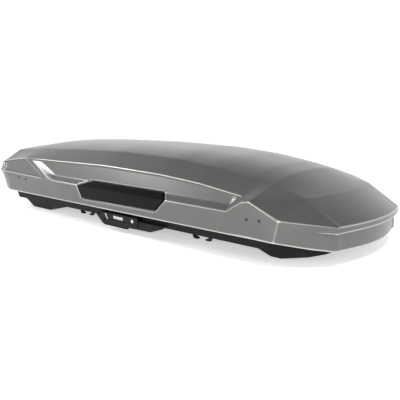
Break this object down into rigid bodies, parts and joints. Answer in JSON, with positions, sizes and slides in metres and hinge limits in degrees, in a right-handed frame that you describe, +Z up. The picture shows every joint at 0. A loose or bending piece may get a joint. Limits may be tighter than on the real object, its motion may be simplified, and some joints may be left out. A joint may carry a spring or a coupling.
{
  "type": "roof cargo box",
  "caption": "Long low hard-shell cargo box for roof bars: faceted lid that opens from either side on lifter arms, locks under each rim, tray with bar clamps.",
  "frame": {"origin": "on the floor, midway along and across the box; the two keels' flat bottoms stand at z = 0", "axes": "+X to the nose, +Y to the car's left side, +Z up"},
  "size_m": [2.32, 0.953, 0.417],
  "materials": {
    "titan_shell": "glossy metallic grey co-extruded ABS",
    "gloss_black": "piano black gloss",
    "tray_black": "fine grained black ABS",
    "black_trim": "satin black moulding",
    "clamp_plastic": "glass-filled black nylon",
    "claw_steel": "black powder coat",
    "key_metal": "polished nickel",
    "strut_black": "black enamel",
    "bright_steel": "ground steel",
    "screw_black": "dark zinc",
    "rivet_aluminium": "plain",
    "beam_aluminium": "plain extrusion",
    "zinc_steel": "zinc plated"
  },
  "bodies": {
    "base": {"base_tray": "tray_black", "reinforcement_rail_right": "zinc_steel", "reinforcement_rail_left": "zinc_steel", "rail_rivets": "rivet_aluminium", "hinge_cradles_right": "zinc_steel", "hinge_cradles_left": "zinc_steel", "hinge_pins_right": "bright_steel", "strut_base_brackets": "zinc_steel", "lock_case_right": "black_trim", "lock_case_left": "black_trim"},
    "lifter_arms": {"lifter_arm_rear": "beam_aluminium", "lifter_arm_front": "beam_aluminium", "hinge_pins_left": "bright_steel"},
    "lid": {"lid_shell": "titan_shell", "handle_insert_right": "gloss_black", "handle_insert_left": "gloss_black", "lid_screws": "screw_black", "lid_brackets_right": "zinc_steel", "lid_brackets_left": "zinc_steel", "lid_beam_rear": "beam_aluminium", "lid_beam_front": "beam_aluminium", "lid_pin_middle": "bright_steel", "roof_beams": "beam_aluminium"},
    "lid_strut_tube_rear": {"lid_strut_tube_rear": "strut_black"},
    "lid_strut_rod_rear": {"lid_strut_rod_rear": "bright_steel"},
    "arm_strut_tube_rear": {"arm_strut_tube_rear": "strut_black"},
    "arm_strut_rod_rear": {"arm_strut_rod_rear": "bright_steel"},
    "lid_strut_tube_front": {"lid_strut_tube_front": "strut_black"},
    "lid_strut_rod_front": {"lid_strut_rod_front": "bright_steel"},
    "arm_strut_tube_front": {"arm_strut_tube_front": "strut_black"},
    "arm_strut_rod_front": {"arm_strut_rod_front": "bright_steel"},
    "release_handle_right": {"release_handle_right": "black_trim"},
    "key_cylinder_right": {"key_cylinder_right": "key_metal"},
    "lock_rod_right": {"lock_rod_right": "beam_aluminium"},
    "clamp_carriage_rear_right": {"clamp_carriage_rear_right": "clamp_plastic"},
    "clamp_knob_rear_right": {"clamp_knob_rear_right": "clamp_plastic"},
    "clamp_claw_rear_rear_right": {"clamp_claw_rear_rear_right": "claw_steel"},
    "clamp_claw_front_rear_right": {"clamp_claw_front_rear_right": "claw_steel"},
    "clamp_carriage_front_right": {"clamp_carriage_front_right": "clamp_plastic"},
    "clamp_knob_front_right": {"clamp_knob_front_right": "clamp_plastic"},
    "clamp_claw_rear_front_right": {"clamp_claw_rear_front_right": "claw_steel"},
    "clamp_claw_front_front_right": {"clamp_claw_front_front_right": "claw_steel"},
    "release_handle_left": {"release_handle_left": "black_trim"},
    "key_cylinder_left": {"key_cylinder_left": "key_metal"},
    "lock_rod_left": {"lock_rod_left": "beam_aluminium"},
    "clamp_carriage_rear_left": {"clamp_carriage_rear_left": "clamp_plastic"},
    "clamp_knob_rear_left": {"clamp_knob_rear_left": "clamp_plastic"},
    "clamp_claw_rear_rear_left": {"clamp_claw_rear_rear_left": "claw_steel"},
    "clamp_claw_front_rear_left": {"clamp_claw_front_rear_left": "claw_steel"},
    "clamp_carriage_front_left": {"clamp_carriage_front_left": "clamp_plastic"},
    "clamp_knob_front_left": {"clamp_knob_front_left": "clamp_plastic"},
    "clamp_claw_rear_front_left": {"clamp_claw_rear_front_left": "claw_steel"},
    "clamp_claw_front_front_left": {"clamp_claw_front_front_left": "claw_steel"}
  },
  "joints": [
    {"name": "lid_opens_left", "type": "hinge", "parent": "base", "child": "lifter_arms", "pos_m": [0, -0.445, 0.124], "axis": [1, 0, 0], "range_deg": [0, 60]},
    {"name": "lid_opens_right", "type": "hinge", "parent": "lifter_arms", "child": "lid", "pos_m": [0, 0.445, 0.124], "axis": [1, 0, 0], "range_deg": [-60, 0]},
    {"name": "lid_strut_swing_rear", "type": "hinge", "parent": "lifter_arms", "child": "lid_strut_tube_rear", "pos_m": [-0.817, 0.325, 0.092], "axis": [1, 0, 0], "range_deg": [-68.34, 0]},
    {"name": "lid_strut_slide_rear", "type": "slide", "parent": "lid_strut_tube_rear", "child": "lid_strut_rod_rear", "axis": [0, -0.9844, 0.1761], "range_m": [0, 0.1073]},
    {"name": "arm_strut_swing_rear", "type": "hinge", "parent": "base", "child": "arm_strut_tube_rear", "pos_m": [-0.903, -0.325, 0.092], "axis": [1, 0, 0], "range_deg": [0, 69.62]},
    {"name": "arm_strut_slide_rear", "type": "slide", "parent": "arm_strut_tube_rear", "child": "arm_strut_rod_rear", "axis": [0, 0.9965, 0.0839], "range_m": [0, 0.1018]},
    {"name": "lid_strut_swing_front", "type": "hinge", "parent": "lifter_arms", "child": "lid_strut_tube_front", "pos_m": [0.848, 0.325, 0.092], "axis": [1, 0, 0], "range_deg": [-68.34, 0]},
    {"name": "lid_strut_slide_front", "type": "slide", "parent": "lid_strut_tube_front", "child": "lid_strut_rod_front", "axis": [0, -0.9844, 0.1761], "range_m": [0, 0.1073]},
    {"name": "arm_strut_swing_front", "type": "hinge", "parent": "base", "child": "arm_strut_tube_front", "pos_m": [0.762, -0.325, 0.092], "axis": [1, 0, 0], "range_deg": [0, 69.62]},
    {"name": "arm_strut_slide_front", "type": "slide", "parent": "arm_strut_tube_front", "child": "arm_strut_rod_front", "axis": [0, 0.9965, 0.0839], "range_m": [0, 0.1018]},
    {"name": "handle_pull_right", "type": "hinge", "parent": "base", "child": "release_handle_right", "pos_m": [-0.032, -0.447, 0.054], "axis": [-1, 0, 0], "range_deg": [0, 35], "stiffness_Nm_per_rad": 0.6, "springref_deg": -11.46},
    {"name": "key_turn_right", "type": "hinge", "parent": "base", "child": "key_cylinder_right", "pos_m": [0.095, -0.445, 0.073], "axis": [0, -1, 0], "range_deg": [0, 90.1]},
    {"name": "lock_slide_right", "type": "slide", "parent": "base", "child": "lock_rod_right", "axis": [1, 0, 0], "range_m": [0, 0.014]},
    {"name": "clamp_slide_rear_right", "type": "slide", "parent": "base", "child": "clamp_carriage_rear_right", "axis": [1, 0, 0], "range_m": [-0.04, 0.04]},
    {"name": "knob_turn_rear_right", "type": "hinge", "parent": "clamp_carriage_rear_right", "child": "clamp_knob_rear_right", "pos_m": [-0.455, -0.3, 0.1], "axis": [0, 0, 1], "range_deg": [0, 1080]},
    {"name": "claw_swing_rear_rear_right", "type": "hinge", "parent": "clamp_carriage_rear_right", "child": "clamp_claw_rear_rear_right", "pos_m": [-0.503, -0.3, 0.05], "axis": [0, 1, 0], "range_deg": [0, 30.1]},
    {"name": "claw_swing_front_rear_right", "type": "hinge", "parent": "clamp_carriage_rear_right", "child": "clamp_claw_front_rear_right", "pos_m": [-0.407, -0.3, 0.05], "axis": [0, 1, 0], "range_deg": [-30.1, 0]},
    {"name": "clamp_slide_front_right", "type": "slide", "parent": "base", "child": "clamp_carriage_front_right", "axis": [1, 0, 0], "range_m": [-0.04, 0.04]},
    {"name": "knob_turn_front_right", "type": "hinge", "parent": "clamp_carriage_front_right", "child": "clamp_knob_front_right", "pos_m": [0.415, -0.3, 0.1], "axis": [0, 0, 1], "range_deg": [0, 1080]},
    {"name": "claw_swing_rear_front_right", "type": "hinge", "parent": "clamp_carriage_front_right", "child": "clamp_claw_rear_front_right", "pos_m": [0.367, -0.3, 0.05], "axis": [0, 1, 0], "range_deg": [0, 30.1]},
    {"name": "claw_swing_front_front_right", "type": "hinge", "parent": "clamp_carriage_front_right", "child": "clamp_claw_front_front_right", "pos_m": [0.463, -0.3, 0.05], "axis": [0, 1, 0], "range_deg": [-30.1, 0]},
    {"name": "handle_pull_left", "type": "hinge", "parent": "base", "child": "release_handle_left", "pos_m": [-0.032, 0.447, 0.054], "axis": [1, 0, 0], "range_deg": [0, 35], "stiffness_Nm_per_rad": 0.6, "springref_deg": -11.46},
    {"name": "key_turn_left", "type": "hinge", "parent": "base", "child": "key_cylinder_left", "pos_m": [0.095, 0.445, 0.073], "axis": [0, 1, 0], "range_deg": [0, 90.1]},
    {"name": "lock_slide_left", "type": "slide", "parent": "base", "child": "lock_rod_left", "axis": [1, 0, 0], "range_m": [0, 0.014]},
    {"name": "clamp_slide_rear_left", "type": "slide", "parent": "base", "child": "clamp_carriage_rear_left", "axis": [1, 0, 0], "range_m": [-0.04, 0.04]},
    {"name": "knob_turn_rear_left", "type": "hinge", "parent": "clamp_carriage_rear_left", "child": "clamp_knob_rear_left", "pos_m": [-0.455, 0.3, 0.1], "axis": [0, 0, 1], "range_deg": [0, 1080]},
    {"name": "claw_swing_rear_rear_left", "type": "hinge", "parent": "clamp_carriage_rear_left", "child": "clamp_claw_rear_rear_left", "pos_m": [-0.503, 0.3, 0.05], "axis": [0, 1, 0], "range_deg": [0, 30.1]},
    {"name": "claw_swing_front_rear_left", "type": "hinge", "parent": "clamp_carriage_rear_left", "child": "clamp_claw_front_rear_left", "pos_m": [-0.407, 0.3, 0.05], "axis": [0, 1, 0], "range_deg": [-30.1, 0]},
    {"name": "clamp_slide_front_left", "type": "slide", "parent": "base", "child": "clamp_carriage_front_left", "axis": [1, 0, 0], "range_m": [-0.04, 0.04]},
    {"name": "knob_turn_front_left", "type": "hinge", "parent": "clamp_carriage_front_left", "child": "clamp_knob_front_left", "pos_m": [0.415, 0.3, 0.1], "axis": [0, 0, 1], "range_deg": [0, 1080]},
    {"name": "claw_swing_rear_front_left", "type": "hinge", "parent": "clamp_carriage_front_left", "child": "clamp_claw_rear_front_left", "pos_m": [0.367, 0.3, 0.05], "axis": [0, 1, 0], "range_deg": [0, 30.1]},
    {"name": "claw_swing_front_front_left", "type": "hinge", "parent": "clamp_carriage_front_left", "child": "clamp_claw_front_front_left", "pos_m": [0.463, 0.3, 0.05], "axis": [0, 1, 0], "range_deg": [-30.1, 0]}
  ],
  "couplings": [
    {"joint": "lid_strut_swing_rear", "follows": "lid_opens_right", "ratio": 1.1382},
    {"joint": "lid_strut_slide_rear", "follows": "lid_opens_right", "m_per_rad": -0.10216},
    {"joint": "arm_strut_swing_rear", "follows": "lid_opens_left", "ratio": 1.1595},
    {"joint": "arm_strut_slide_rear", "follows": "lid_opens_left", "m_per_rad": 0.096923},
    {"joint": "lid_strut_swing_front", "follows": "lid_opens_right", "ratio": 1.1382},
    {"joint": "lid_strut_slide_front", "follows": "lid_opens_right", "m_per_rad": -0.10216},
    {"joint": "arm_strut_swing_front", "follows": "lid_opens_left", "ratio": 1.1595},
    {"joint": "arm_strut_slide_front", "follows": "lid_opens_left", "m_per_rad": 0.096923},
    {"joint": "key_turn_right", "follows": "lock_slide_right", "rad_per_m": 112.2},
    {"joint": "claw_swing_rear_rear_right", "follows": "knob_turn_rear_right", "ratio": 0.027778},
    {"joint": "claw_swing_front_rear_right", "follows": "knob_turn_rear_right", "ratio": -0.027778},
    {"joint": "claw_swing_rear_front_right", "follows": "knob_turn_front_right", "ratio": 0.027778},
    {"joint": "claw_swing_front_front_right", "follows": "knob_turn_front_right", "ratio": -0.027778},
    {"joint": "key_turn_left", "follows": "lock_slide_left", "rad_per_m": 112.2},
    {"joint": "claw_swing_rear_rear_left", "follows": "knob_turn_rear_left", "ratio": 0.027778},
    {"joint": "claw_swing_front_rear_left", "follows": "knob_turn_rear_left", "ratio": -0.027778},
    {"joint": "claw_swing_rear_front_left", "follows": "knob_turn_front_left", "ratio": 0.027778},
    {"joint": "claw_swing_front_front_left", "follows": "knob_turn_front_left", "ratio": -0.027778}
  ]
}
